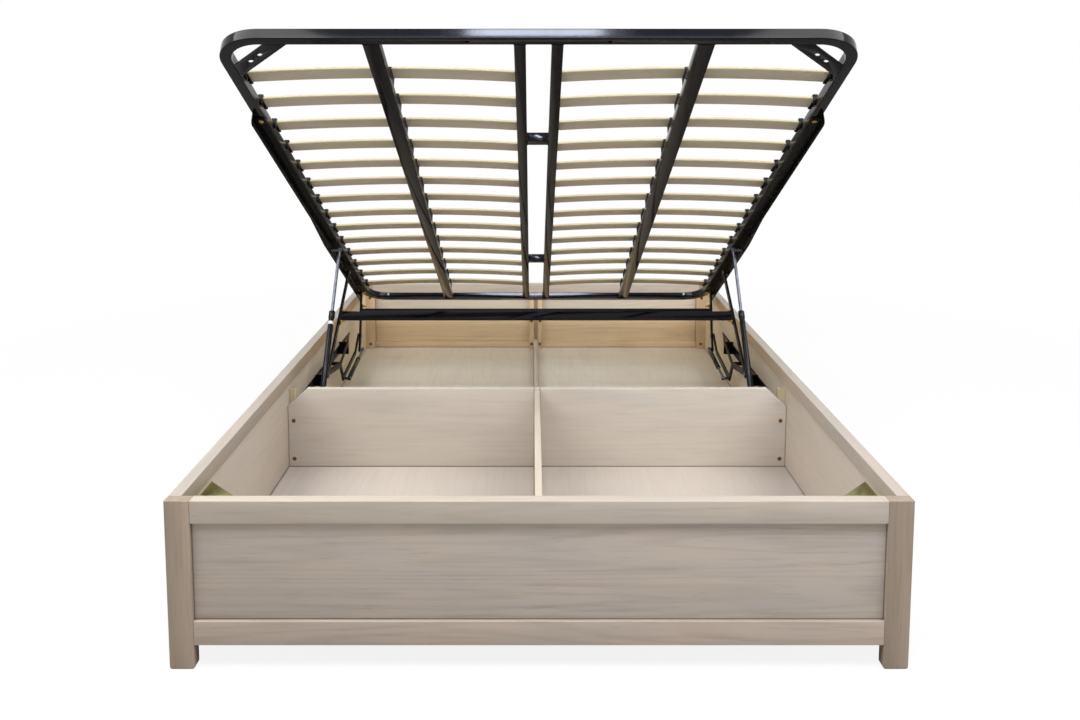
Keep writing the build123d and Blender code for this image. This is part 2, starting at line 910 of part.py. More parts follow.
spacers = (
    (strut_foot[0], strut_foot[1], wall_plate_top),
    (front_ground[0], wall_plate_bottom, front_ground[1]),
    (base_knee[0], wall_plate_bottom, base_knee[1] + base_rail_width / 2),
    (brace_end[0], wall_plate_bottom, brace_end[1]),
)
for y, z0, z1 in spacers:
    base_bracket += block(
        rail_x0, wall_x0, y - base_plate / 2, y + base_plate / 2, z0, z1
    )
for name, solid in zip(("base_bracket_left", "base_bracket_right"), both_sides(base_bracket)):
    write(name, solid)

# Pivot pins of the base: rivets from the inner rail, headed on the far side of the link
pin_inner = link_inner - running_gap
base_pins = []
for y, z in (front_ground, rear_ground):
    shank = cross_pin(y, z, pin_inner, rail_x0, pin_radius)
    head = cross_pin(y, z, pin_inner - pin_head_height, pin_inner, pin_head_radius)
    base_pins.append(shank + head)
strut_eye_inner = strut_plane - strut_eye_width / 2
strut_pin = cross_pin(*strut_foot, strut_eye_inner - running_gap, rail_x0, pin_radius)
strut_pin += cross_pin(
    *strut_foot,
    strut_eye_inner - running_gap - pin_head_height,
    strut_eye_inner - running_gap,
    pin_head_radius,
)
damper_eye_inner = damper_plane - damper_eye_width / 2
damper_pin = cross_pin(*damper_foot, damper_eye_inner - running_gap, rail_x0, pin_radius)
damper_pin += cross_pin(
    *damper_foot,
    damper_eye_inner - running_gap - pin_head_height,
    damper_eye_inner - running_gap,
    pin_head_radius,
)
base_pins += [strut_pin, damper_pin]
write("base_pins", *base_pins, *[mirror(piece, Plane.YZ) for piece in base_pins])

# Pivot pins of the platform, riveted in the mounting rail and headed inside the front link
platform_pin = cross_pin(*front_top, pin_inner, rail_face, pin_radius)
platform_pin += cross_pin(
    *front_top, pin_inner - pin_head_height, pin_inner, pin_head_radius
)
write("platform_pins", *both_sides(platform_pin))

# Bolts that hold the base brackets to the sides
base_bolts = []
bolt_height = (wall_plate_bottom + wall_plate_top) / 2
for y in (
    front_y + base_bolt_from_end,
    head_face - base_bolt_middle,
    back_y - wall_plate_taper - base_bolt_from_end,
):
    head = cross_pin(y, bolt_height, wall_x0 - base_bolt_height, wall_x0, base_bolt_radius)
    base_bolts.append(head)
write("base_bolts", *base_bolts, *[mirror(piece, Plane.YZ) for piece in base_bolts])


# Gas springs: a turned cylinder with an eye at one end, and a rod that slides in its bore
def turned_part(profile, foot, top, plane):
    """Solid of revolution from (radius, distance) points, laid from foot towards top."""
    turn = math.degrees(math.atan2(-(top[0] - foot[0]), top[1] - foot[1]))
    face = Plane.XZ * make_face(Polyline(*profile, close=True))
    return Pos(plane, *foot) * Rot(turn, 0, 0) * revolve(face, Axis.Z)


def eye(y, z, plane, radius, width):
    return cross_pin(y, z, plane - width / 2, plane + width / 2, radius)


def gas_cylinder(foot, top, sizes):
    """Cylinder with neck, body and collar, bored for the rod, and the eye at its foot."""
    (plane, radius, collar_radius, collar, length, gap, bore_length) = sizes[:7]
    (rod_radius, eye_radius, eye_width) = sizes[7:]
    bore_radius = rod_radius + pin_fit
    profile = [
        (0, 0),
        (rod_radius, 0),
        (rod_radius, gap),
        (radius, gap),
        (radius, length - collar),
        (collar_radius, length - collar),
        (collar_radius, length),
        (bore_radius, length),
        (bore_radius, length - bore_length),
        (0, length - bore_length),
    ]
    return turned_part(profile, foot, top, plane) + eye(*foot, plane, eye_radius, eye_width)


def gas_rod(foot, top, sizes, rod_length):
    """Rod from its eye at top, reaching back along the line into the cylinder."""
    plane, gap = sizes[0], sizes[5]
    (rod_radius, eye_radius, eye_width) = sizes[7:]
    sleeve_radius = (rod_radius + eye_width / 2) / 2
    sleeve = 2 * gap
    profile = [
        (0, 0),
        (sleeve_radius, 0),
        (sleeve_radius, sleeve),
        (rod_radius, sleeve),
        (rod_radius, rod_length),
        (0, rod_length),
    ]
    return turned_part(profile, top, foot, plane) + eye(*top, plane, eye_radius, eye_width)


strut_sizes = (
    strut_plane,
    strut_cylinder_radius,
    strut_collar_radius,
    strut_collar_length,
    strut_body_length,
    strut_end_gap,
    strut_bore_length,
    strut_rod_radius,
    strut_eye_radius,
    strut_eye_width,
)
strut_outer = strut_plane + strut_eye_width / 2
strut_bore = cross_pin(*strut_foot, strut_eye_inner, strut_outer, pin_radius + pin_fit)
strut_stud = cross_pin(*strut_top, strut_outer, rail_face - running_gap, pin_radius)
strut_cylinder = gas_cylinder(strut_foot, strut_top, strut_sizes) - strut_bore
strut_rod = gas_rod(strut_foot, strut_top, strut_sizes, strut_rod_length) + strut_stud
for name, solid in (("strut_cylinder", strut_cylinder), ("strut_rod", strut_rod)):
    left, right = both_sides(solid)
    write(name + "_left", left)
    write(name + "_right", right)

# Dampers: the left one has its cylinder at the base, the right one is turned round
damper_sizes = (
    damper_plane,
    damper_cylinder_radius,
    damper_collar_radius,
    damper_collar_length,
    damper_body_length,
    damper_end_gap,
    damper_bore_length,
    damper_rod_radius,
    damper_eye_radius,
    damper_eye_width,
)
damper_outer = damper_plane + damper_eye_width / 2
damper_bore = cross_pin(*damper_foot, damper_eye_inner, damper_outer, pin_radius + pin_fit)
lever_stud = cross_pin(*lever_tip, damper_outer, link_inner - running_gap, pin_radius)
left_cylinder = gas_cylinder(damper_foot, lever_tip, damper_sizes) - damper_bore
left_rod = gas_rod(damper_foot, lever_tip, damper_sizes, damper_rod_length) + lever_stud
right_cylinder = gas_cylinder(lever_tip, damper_foot, damper_sizes) + lever_stud
right_rod = gas_rod(lever_tip, damper_foot, damper_sizes, damper_rod_length) - damper_bore
write("damper_cylinder_left", mirror(left_cylinder, Plane.YZ))
write("damper_rod_left", mirror(left_rod, Plane.YZ))
write("damper_cylinder_right", right_cylinder)
write("damper_rod_right", right_rod)


# The joint figures that the record repeats, in millimetres and degrees
def swing(ground, from_head):
    """Angle a bar turns about its ground pivot as the bed closes, positive about +X."""
    open_y, open_z = open_point(from_head, pivot_drop)
    closed_y, closed_z = closed_point(from_head, pivot_drop)
    start = math.atan2(open_z - ground[1], open_y - ground[0])
    finish = math.atan2(closed_z - ground[1], closed_y - ground[0])
    return math.degrees(finish - start)


def swung(point, centre, degrees):
    angle = math.radians(degrees)
    y, z = point[0] - centre[0], point[1] - centre[1]
    return (
        centre[0] + y * math.cos(angle) - z * math.sin(angle),
        centre[1] + y * math.sin(angle) + z * math.cos(angle),
    )


def report_joints():
    front_swing = swing(front_ground, front_pivot)
    rear_swing = swing(rear_ground, rear_pivot)
    strut_swing = swing(strut_foot, strut_pivot)
    strut_closed = closed_point(strut_pivot, pivot_drop)
    strut_slide = math.dist(strut_closed, strut_foot) - math.dist(strut_top, strut_foot)
    tip_closed = swung(lever_tip, rear_ground, rear_swing)
    damper_swing = math.degrees(
        math.atan2(tip_closed[1] - damper_foot[1], tip_closed[0] - damper_foot[0])
        - math.atan2(lever_tip[1] - damper_foot[1], lever_tip[0] - damper_foot[0])
    )
    damper_slide = math.dist(tip_closed, damper_foot) - math.dist(lever_tip, damper_foot)
    print("front_ground", front_ground, "swing", front_swing)
    print("front_top", front_top, "platform turn", open_tilt - front_swing)
    print("rear_ground", rear_ground, "swing", rear_swing, "rear_top", rear_top)
    print("strut_foot", strut_foot, "top", strut_top, strut_swing, "slide", strut_slide)
    print("damper_foot", damper_foot, "tip", lever_tip, damper_swing, "slide", damper_slide)


report_joints()
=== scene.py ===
import math

import bmesh
import bpy
import numpy as np
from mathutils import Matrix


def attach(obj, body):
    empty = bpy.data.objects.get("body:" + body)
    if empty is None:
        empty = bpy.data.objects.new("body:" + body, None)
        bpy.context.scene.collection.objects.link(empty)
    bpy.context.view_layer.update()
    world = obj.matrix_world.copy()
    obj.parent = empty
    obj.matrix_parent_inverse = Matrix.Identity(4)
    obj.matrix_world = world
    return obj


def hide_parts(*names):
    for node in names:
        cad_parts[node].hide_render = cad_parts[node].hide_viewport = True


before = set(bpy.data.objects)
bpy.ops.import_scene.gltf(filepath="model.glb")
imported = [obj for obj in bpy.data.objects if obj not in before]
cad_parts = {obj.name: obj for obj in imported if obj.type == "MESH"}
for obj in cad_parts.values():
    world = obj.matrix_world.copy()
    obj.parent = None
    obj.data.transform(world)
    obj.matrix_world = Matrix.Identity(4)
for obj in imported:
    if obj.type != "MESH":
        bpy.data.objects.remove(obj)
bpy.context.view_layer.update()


# Camera: stands at the foot end at chest height and looks along the bed, a little down.
# The rest of the way down is lens shift, which keeps the posts nearly upright.
def placed(name, data):
    """A new object at the origin, linked to the scene."""
    made = bpy.data.objects.new(name, data)
    bpy.context.scene.collection.objects.link(made)
    return made


look_down = 5.493
camera_data = bpy.data.cameras.new("camera")
camera_data.lens = 30.196
camera_data.sensor_width = 36.0
camera_data.shift_x = 0.0067
camera_data.shift_y = -0.165
camera = placed("camera", camera_data)
camera.location = (-0.0126, -2.7807, 1.1579)
camera.rotation_euler = (math.radians(90 - look_down), 0, 0)
bpy.context.scene.camera = camera
bpy.context.scene.view_settings.view_transform = "Standard"


# Surround: plain white where it is seen or mirrored, and a weak warm fill where it lights,
# as the walls of a furniture studio are.
def from_hex(code):
    """Linear colour of an sRGB hex code: the standard curve, applied to each channel."""
    channels = [int(code[i : i + 2], 16) / 255 for i in (1, 3, 5)]
    return [c / 12.92 if c <= 0.04045 else ((c + 0.055) / 1.055) ** 2.4 for c in channels] + [1]


def add(tree, kind, inputs=None, links=(), **settings):
    """Adds one node: settings on the node, inputs by socket name or number, and links as
    (socket of the new node, node, its output)."""
    node = tree.nodes.new(kind)
    for key, value in settings.items():
        setattr(node, key, value)
    for key, value in (inputs or {}).items():
        node.inputs[key].default_value = value
    for key, source, output in links:
        tree.links.new(source.outputs[output], node.inputs[key])
    return node


world = bpy.data.worlds.new("white_surround")
world.use_nodes = True
sky = world.node_tree
sky.nodes.clear()
sky_path = add(sky, "ShaderNodeLightPath")
sky_plain = add(sky, "ShaderNodeMath", operation="MAXIMUM",
                links=[(0, sky_path, "Is Camera Ray"), (1, sky_path, "Is Glossy Ray")])
sky_plain = add(sky, "ShaderNodeMath", operation="MAXIMUM",
                links=[(0, sky_plain, 0), (1, sky_path, "Is Transmission Ray")])
sky_fill = add(sky, "ShaderNodeBackground", {"Color": from_hex("#fbfaf8"), "Strength": 0.36})
sky_seen = add(sky, "ShaderNodeBackground", {"Color": (1, 1, 1, 1), "Strength": 1.0})
sky_mix = add(sky, "ShaderNodeMixShader",
              links=[(0, sky_plain, 0), (1, sky_fill, 0), (2, sky_seen, 0)])
add(sky, "ShaderNodeOutputWorld", links=[("Surface", sky_mix, 0)])
bpy.context.scene.world = world

# Studio floor: a white painted floor, seamless. It keeps the bed's shadow near the bed, and
# between 1 and 3.2 m out it passes into the white surround.
floor_half = 30
floor_mesh = bpy.data.meshes.new("studio_floor")
floor_mesh.from_pydata([(-floor_half, -floor_half, 0), (floor_half, -floor_half, 0),
                        (floor_half, floor_half, 0), (-floor_half, floor_half, 0)],
                       [], [(0, 1, 2, 3)])
studio_floor = placed("studio_floor", floor_mesh)
floor_paint = bpy.data.materials.new("white_studio_floor")
floor_paint.use_nodes = True
paint = floor_paint.node_tree
paint.nodes.clear()
paint_path = add(paint, "ShaderNodeLightPath")
paint_place = add(paint, "ShaderNodeTexCoord")
paint_reach = add(paint, "ShaderNodeVectorMath", operation="LENGTH",
                  links=[(0, paint_place, "Object")])
paint_fade = add(paint, "ShaderNodeMapRange",
                 {"From Min": 1.0, "From Max": 3.2, "To Min": 0.86, "To Max": 1.0},
                 [("Value", paint_reach, "Value")])
paint_seen = add(paint, "ShaderNodeMath", operation="MULTIPLY",
                 links=[(0, paint_path, "Is Camera Ray"), (1, paint_fade, 0)])
paint_tone = add(paint, "ShaderNodeMix", {6: from_hex("#b4b1ad"), 7: from_hex("#f8f7f5")},
                 [(0, paint_path, "Is Camera Ray")], data_type="RGBA")
paint_matt = add(paint, "ShaderNodeBsdfDiffuse", links=[("Color", paint_tone, 2)])
paint_white = add(paint, "ShaderNodeEmission", {"Color": (1, 1, 1, 1), "Strength": 1.0})
paint_mix = add(paint, "ShaderNodeMixShader",
                links=[(0, paint_seen, 0), (1, paint_matt, 0), (2, paint_white, 0)])
add(paint, "ShaderNodeOutputMaterial", links=[("Surface", paint_mix, 0)])
floor_mesh.materials.append(floor_paint)

# Lamps: a large softbox high on each side and a weak one in front. The two narrow bluish
# ones above the foot end are what the black tubes mirror as a streak. Each row is name,
# place, turn in degrees, width, depth, power and colour.
for lamp_name, lamp_place, lamp_turn, lamp_width, lamp_depth, lamp_power, lamp_tint in (
    ("softbox_left", (-2.3, -1.5, 3.3), (20, -36, 0), 2.2, 2.2, 103, "#fffdf8"),
    ("softbox_right", (2.3, -1.5, 3.3), (20, 36, 0), 2.2, 2.2, 91, "#fffdf8"),
    ("softbox_front", (0.0, -4.2, 2.2), (68, 0, 0), 2.4, 2.4, 10, "#ffffff"),
    ("softbox_above", (0.0, -1.98, 3.4), (28, 0, 0), 0.7, 0.3, 38, "#e2eaff"),
    ("strip_above", (0.0, -2.42, 3.4), (34, 0, 0), 3.0, 0.4, 16, "#d8e4ff"),
):
    lamp_data = bpy.data.lights.new(lamp_name, "AREA")
    lamp_data.shape = "RECTANGLE"
    lamp_data.energy = lamp_power
    lamp_data.color = from_hex(lamp_tint)[:3]
    lamp_data.size = lamp_width
    lamp_data.size_y = lamp_depth
    lamp = placed(lamp_name, lamp_data)
    lamp.location = lamp_place
    lamp.rotation_euler = [math.radians(turn) for turn in lamp_turn]


# Foot end and head end: a frame of planed pine, with posts, rails and a thin panel in
# grooves. The wood is limed: a grey-white stain that stays in the soft grain, under satin
# lacquer. To the eye that is chalky greige with darker lines and a dull, even shine.
def begin_finish(name):
    """Starts a material: gives it, its node tree, its shader and its Object coordinates."""
    material = bpy.data.materials.new(name)
    material.use_nodes = True
    tree = material.node_tree
    return material, tree, tree.nodes["Principled BSDF"], add(tree, "ShaderNodeTexCoord")


def limed_pine(name, grain, warm, grey, dark, clouding=0.6, marks=1.0, seed=0.0,
               bare=(), shaded_joints=(), inner=("X", 9.0)):
    """Limed pine, brushed stain under satin lacquer. grain is the axis that the fibres run
    along. The stain lies in clouds about 120 x 30 mm, year rings show as faint lines about
    12 mm apart, and pores are drawn 4 mm apart, coarser than life, so that they show. bare
    lists (axis, from, to, colour) in metres over which the stain gives way to bare wood, and
    the joint list gives (axis, place) of each joint, along which a dark line of painted
    shade is drawn. Both are only where the axis named by inner reads less than its place,
    on the box's inside."""
    material, tree, shader, place = begin_finish(name)
    level = {}
    for key, along, across, detail, rough, twist, low, high, top in (
        ("clouds", 4.0, 24.0, 3.0, 0.5, 0.12, 0.38, 0.68, clouding),
        ("warmth", 1.7, 8.0, 2.0, 0.5, 0.2, 0.40, 0.68, 0.35),
        ("rings", 0.8, 11.0, 1.0, 0.4, 0.1, 0.0, 1.0, 70.0),
        ("figure", 4.5, 110.0, 4.0, 0.6, 0.05, 0.52, 0.80, 0.40 * marks),
        ("pores", 12.0, 290.0, 3.0, 0.6, 0.0, 0.58, 0.76, 0.42 * marks),
    ):
        scale = [across, across, across]
        scale["XYZ".index(grain)] = along
        shift = [seed + 0.37 * along, seed, 0.61 * along]
        mapping = add(tree, "ShaderNodeMapping", {"Scale": scale, "Location": shift},
                      [("Vector", place, "Object")])
        noise = add(tree, "ShaderNodeTexNoise",
                    {"Scale": 1.0, "Detail": detail, "Roughness": rough, "Distortion": twist},
                    [("Vector", mapping, 0)])
        level[key] = add(tree, "ShaderNodeMapRange",
                         {"From Min": low, "From Max": high, "To Max": top},
                         [("Value", noise, 0)])
    ring_wave = add(tree, "ShaderNodeMath", links=[(0, level["rings"], 0)], operation="SINE")
    ring_line = add(tree, "ShaderNodeMapRange",
                    {"From Min": 0.1, "From Max": 1.0, "To Max": 0.15 * marks},
                    [("Value", ring_wave, 0)])
    shade = add(tree, "ShaderNodeMix", {6: from_hex(warm), 7: from_hex(grey)},
                [(0, level["clouds"], 0)], data_type="RGBA")
    shade = add(tree, "ShaderNodeMix", {7: from_hex(warm)},
                [(0, level["warmth"], 0), (6, shade, 2)], data_type="RGBA")

    axes = add(tree, "ShaderNodeSeparateXYZ", links=[(0, place, "Object")])
    depth = add(tree, "ShaderNodeMath", links=[(0, axes, inner[0])], operation="ABSOLUTE")
    inside = add(tree, "ShaderNodeMath", {1: inner[1]}, [(0, depth, 0)], operation="LESS_THAN")
    for axis, begin, end, raw in bare:
        share = add(tree, "ShaderNodeMapRange", {"From Min": begin, "From Max": end},
                    [("Value", axes, axis)])
        share = add(tree, "ShaderNodeMath", links=[(0, share, 0), (1, inside, 0)],
                    operation="MULTIPLY")
        shade = add(tree, "ShaderNodeMix", {7: from_hex(raw)}, [(0, share, 0), (6, shade, 2)],
                    data_type="RGBA")
    # Painted shade: along each joint a dark line a few millimetres wide, where the parts meet and
    # shade each other.
    for axis, line in shaded_joints:
        reach = add(tree, "ShaderNodeMath", links=[(0, axes, axis)], operation="ABSOLUTE")
        apart = add(tree, "ShaderNodeMath", {1: line}, [(0, reach, 0)], operation="SUBTRACT")
        apart = add(tree, "ShaderNodeMath", links=[(0, apart, 0)], operation="ABSOLUTE")
        joint_shade = add(tree, "ShaderNodeMapRange",
                    {"From Min": 0.0008, "From Max": 0.0026, "To Min": 0.62, "To Max": 0.0},
                    [("Value", apart, 0)])
        joint_shade = add(tree, "ShaderNodeMath", links=[(0, joint_shade, 0), (1, inside, 0)],
                    operation="MULTIPLY")
        shade = add(tree, "ShaderNodeMix", {7: from_hex("#5e4d3e")},
                    [(0, joint_shade, 0), (6, shade, 2)], data_type="RGBA")
    for mark in (ring_line, level["figure"], level["pores"]):
        shade = add(tree, "ShaderNodeMix", {7: from_hex(dark)}, [(0, mark, 0), (6, shade, 2)],
                    data_type="RGBA")
    tree.links.new(shade.outputs[2], shader.inputs["Base Color"])

    lacquer = add(tree, "ShaderNodeMapRange", {"From Max": 0.4, "To Min": 0.46, "To Max": 0.62},
                  [("Value", level["pores"], 0)])
    tree.links.new(lacquer.outputs[0], shader.inputs["Roughness"])
    hollow = add(tree, "ShaderNodeMath", links=[(0, level["pores"], 0), (1, level["figure"], 0)],
                 operation="ADD")
    bump = add(tree, "ShaderNodeBump", {"Strength": 0.35, "Distance": 0.0004},
               [("Height", hollow, 0)], invert=True)
    tree.links.new(bump.outputs[0], shader.inputs["Normal"])
    shader.inputs["IOR"].default_value = 1.5
    return material


def fitted(name, mesh, body, slot, *replaced):
    """Puts a smooth-shaded mesh in the scene on the body that it rides on, and hides the CAD
    nodes that it stands for. slot, the slot of its finish, is not used."""
    mesh.polygons.foreach_set("use_smooth", np.ones(len(mesh.polygons), bool))
    piece = placed(name, mesh)
    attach(piece, body)
    if replaced:
        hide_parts(*replaced)
    return piece


def eased(node, ease, material, body, slot):
    """Stands for a CAD node with its arrises eased: the node's own mesh, merged, with every
    sharp edge rounded to the given radius."""
    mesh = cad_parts[node].data.copy()
    mesh.name = node + "_eased"
    work = bmesh.new()
    work.from_mesh(mesh)
    bmesh.ops.remove_doubles(work, verts=work.verts, dist=0.00001)
    bmesh.ops.dissolve_limit(work, angle_limit=0.01, verts=work.verts, edges=work.edges)
    work.to_mesh(mesh)
    work.free()
    mesh.materials.clear()
    mesh.materials.append(material)
    piece = fitted(node + "_eased", mesh, body, slot, node)
    bevel = piece.modifiers.new("eased_edges", "BEVEL")
    bevel.width = ease
    bevel.segments = 2
    bevel.limit_method = "ANGLE"
    bevel.angle_limit = math.radians(40)
    bevel.harden_normals = True


floor_top = 0.079
low_rail_top = 0.102
top_rail_under = 0.3065
post_inside = 0.6965
head_batten_side = 0.6855
head_rail_inside = 1.0255
head_panel_inside = 1.030
post_pine = limed_pine("limed_pine_post", "Z", "#a08e7c", "#988d82", "#766757", 0.4, 1.0)
rail_pine = limed_pine("limed_pine_rail", "X", "#c1b4a5", "#b4ada4", "#8f8172", 0.5, 0.8)
low_rail_pine = limed_pine("limed_pine_low_rail", "X", "#b9a99a", "#a79d94", "#83725f",
                           0.5, 0.9, 9.0)
# The dark lines along the panel's joints with the rails and posts are painted shade.
panel_pine = limed_pine("limed_pine_panel", "X", "#bdb0a3", "#a9a5a0", "#84766a",
                        0.6, 1.0, 11.0,
                        shaded_joints=[("Z", top_rail_under), ("Z", low_rail_top), ("X", post_inside)])
# The dark lines along the head rail's joint with the floor and along the head panel's battens are
# painted shade.
head_rail_pine = limed_pine("limed_pine_head_rail", "X", "#c7bbaf", "#bab4ae", "#94877a",
                            0.5, 0.8, bare=[("Z", 0.5, 0.4, "#dcc29a")],
                            shaded_joints=[("Z", floor_top)], inner=("Y", head_rail_inside))
head_panel_pine = limed_pine("limed_pine_head_panel", "X", "#cfc3b2", "#c0b9b0", "#a08c72",
                             0.5, 0.9, 5.0, bare=[("Z", 0.24, 0.19, "#e2c8a0")],
                             shaded_joints=[("X", head_batten_side)],
                             inner=("Y", head_panel_inside))
eased("foot_bottom_rail", 0.0015, low_rail_pine, "box", "white_pine")
eased("head_bottom_rail", 0.0015, head_rail_pine, "box", "white_pine")
for end in ("foot", "head"):
    for side in ("left", "right"):
        eased(end + "_post_" + side, 0.0015, post_pine, "box", "white_pine")
    eased(end + "_top_rail", 0.0015, rail_pine, "box", "white_pine")
eased("foot_panel", 0.0006, panel_pine, "box", "white_pine")
eased("head_panel", 0.0006, head_panel_pine, "box", "white_pine")

# Sides: a deep board with a thicker cap along its inner top edge, glued and sanded flush
# outside. Both carry the limed stain, which thins out to bare wood towards the head end on
# the inside, and their grain runs the length of the bed. On the board that bare wood is
# painted paler than it is, as painted light against the shade that the platform casts
# there, and the dark lines at its joints with the floor and the cap are painted shade.
cap_under = 0.3165
side_board_inside = 0.7245
cap_inside = 0.7213
# Partly painted light: the bare wood towards the head is real, but its colour is made paler to lift
# the platform's shade.
side_pine = limed_pine("limed_pine_side", "Y", "#cbbfb1", "#bfb9b1", "#9a8b7b", 0.4, 0.4,
                       bare=[("Y", -0.25, 0.70, "#f0e0c2")],
                       shaded_joints=[("Z", floor_top), ("Z", cap_under)],
                       inner=("X", side_board_inside))
cap_pine = limed_pine("limed_pine_cap", "Y", "#b4a99d", "#aaa49e", "#8b7d6d", 0.5, 0.6, 2.0,
                      bare=[("Y", -0.45, 0.45, "#d9b78e")], inner=("X", cap_inside))
for side in ("left", "right"):
    eased("side_board_" + side, 0.0008, side_pine, "box", "white_pine")
    eased("side_cap_" + side, 0.0012, cap_pine, "box", "white_pine")

# Floor: four thin pine panels with the grain along the bed, laid on cleats. They are paler
# than the frame, because only their upper face is limed and it is little handled. The rear
# panels carry a much paler copy of the front panels' finish. That is painted light, which
# lifts the shadow that the raised platform casts over them.
floor_pine = limed_pine("limed_pine_floor", "Y", "#c9bfb4", "#c3bbb3", "#9c8e7f",
                        0.35, 0.45, 4.0)
# Painted light: the same wood as the front floor, coloured paler against the platform's shadow.
rear_floor_pine_painted_light = limed_pine("limed_pine_rear_floor", "Y", "#eae1d0", "#e5ddcf", "#bba890",
                             0.35, 0.45, 6.0)
eased("front_floor_panels", 0.0006, floor_pine, "box", "white_pine")
eased("rear_floor_panels", 0.0006, rear_floor_pine_painted_light, "box", "white_pine")

# Dividers: a board across the bed with its upper corners cut for the lifting gear, one
# along the middle of the front bays, and a low floor beam behind. Limed, as the frame is.
divider_end = 0.7225
front_divider_side = 0.0085
# The dark lines along the divider's joints with the floor, the sides and the middle divider are
# painted shade.
divider_pine = limed_pine("limed_pine_divider", "X", "#d3c9bc", "#c2bcb5", "#9a8e80",
                          0.5, 0.5, 7.0,
                          shaded_joints=[("Z", floor_top), ("X", divider_end), ("X", front_divider_side)])
centre_pine = limed_pine("limed_pine_centre", "Y", "#d0c3b2", "#c4bcb0", "#a5927a", 0.3, 0.7)
eased("cross_divider", 0.0010, divider_pine, "box", "white_pine")
eased("front_divider", 0.0010, centre_pine, "box", "white_pine")
eased("rear_floor_beam", 0.0010, centre_pine, "box", "white_pine")

# Battens and cleats: square pine, sawn and left raw, screwed and glued into the corners.
# Without the stain the wood is yellow, and its lines are warmer and plainer.
raw_upright = limed_pine("raw_pine_upright", "Z", "#d3ba96", "#d8c2a0", "#b08a60", 0.4, 0.8)
raw_lengthwise = limed_pine("raw_pine_lengthwise", "Y", "#d3ba96", "#d8c2a0", "#b08a60",
                            0.4, 0.8)
aged_upright = limed_pine("raw_pine_offcut", "Z", "#c3b590", "#c9bfa0", "#8f7d55", 0.5, 1.2)
eased("divider_battens", 0.0010, aged_upright, "box", "raw_pine")
eased("head_battens", 0.0010, raw_upright, "box", "raw_pine")
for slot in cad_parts["floor_cleats"].material_slots:
    slot.material = raw_lengthwise


# Platform: square steel tube, bent and welded, under gloss black powder coat. The coat has
# a fine orange peel, so that a lamp's reflection is sharp but breaks up a little at its edge.
def smooth_skin(name, colour, roughness, peel, shine):
    """A smooth skin that isn't metal: powder coat or enamel, sprayed and baked, or moulded
    plastic. Orange peel about 1.5 mm across, and patches 70 mm across that are a little
    lighter and duller. shine is the share of specular reflection, which a fine matting agent
    lowers."""
    material, tree, shader, place = begin_finish(name)
    skin = add(tree, "ShaderNodeTexNoise", {"Scale": 650.0, "Detail": 2.0},
               [("Vector", place, "Object")])
    worn = add(tree, "ShaderNodeTexNoise", {"Scale": 14.0, "Detail": 5.0, "Roughness": 0.65},
               [("Vector", place, "Object")])
    brighter = [1.5 * c for c in from_hex(colour)[:3]] + [1]
    shade = add(tree, "ShaderNodeMix", {6: from_hex(colour), 7: brighter}, [(0, worn, 0)],
                data_type="RGBA")
    tree.links.new(shade.outputs[2], shader.inputs["Base Color"])
    gloss = add(tree, "ShaderNodeMapRange",
                {"From Min": 0.35, "From Max": 0.7, "To Min": roughness * 0.8,
                 "To Max": roughness * 1.35}, [("Value", worn, 0)])
    tree.links.new(gloss.outputs[0], shader.inputs["Roughness"])
    bump = add(tree, "ShaderNodeBump", {"Strength": peel, "Distance": 0.0002},
               [("Height", skin, 0)])
    tree.links.new(bump.outputs[0], shader.inputs["Normal"])
    shader.inputs["Specular IOR Level"].default_value = shine
    shader.inputs["Coat Weight"].default_value = 0.05
    shader.inputs["Coat Roughness"].default_value = 0.06
    return material


tube_coat = smooth_skin("gloss_black_powder_coat", "#07080e", 0.11, 0.05, 0.14)
for node, ease in (("platform_frame", 0.002), ("centre_beams", 0.0015), ("cross_ties", 0.0015),
                   ("middle_bars", 0.0015), ("corner_gussets", 0.0004)):
    eased(node, ease, tube_coat, "platform", "black_steel")

# Mounting rails and linkage: pressed and punched steel plate under a duller black coat, which
# hardly mirrors anything, and crossbars of square tube in the platform's gloss coat.
plate_coat = smooth_skin("satin_black_powder_coat", "#070709", 0.28, 0.25, 0.05)
for side in ("left", "right"):
    eased("mounting_rail_" + side, 0.0005, plate_coat, "platform", "black_steel")
    eased("front_link_" + side, 0.0008, plate_coat, "lift_links", "black_steel")
    eased("rear_link_" + side, 0.0008, plate_coat, "rear_links", "black_steel")
    eased("base_bracket_" + side, 0.0005, plate_coat, "box", "black_steel")
eased("front_crossbar", 0.0012, tube_coat, "lift_links", "black_steel")
eased("rear_crossbar", 0.0012, tube_coat, "rear_links", "black_steel")


# Slats: strips of layered birch veneer, bent upwards in the press, with rounded long edges.
# They are sealed but not stained, so they are cream on top, with a yellower striped edge.
def shaped(name, points, faces, material, body, slot, *replaced, crease=40):
    """Makes a piece from arrays of points and faces, smooth but for edges sharper than the
    crease angle."""
    mesh = bpy.data.meshes.new(name)
    mesh.from_pydata(np.asarray(points).reshape(-1, 3).tolist(), [], faces)
    mesh.materials.append(material)
    piece = fitted(name, mesh, body, slot, *replaced)
    mesh.set_sharp_from_angle(angle=math.radians(crease))
    return piece


def tube_faces(rings, corners, start=0):
    """Faces of a closed skin over rings of points: quads between one ring and the next,
    and a cap at each end."""
    ring, corner = np.meshgrid(np.arange(rings - 1), np.arange(corners), indexing="ij")
    after = (corner + 1) % corners
    quads = np.stack([ring * corners + corner, ring * corners + after,
                      (ring + 1) * corners + after, (ring + 1) * corners + corner], axis=-1)
    first = [list(range(start + corners - 1, start - 1, -1))]
    last = [list(range(start + (rings - 1) * corners, start + rings * corners))]
    return (quads.reshape(-1, 4) + start).tolist() + first + last


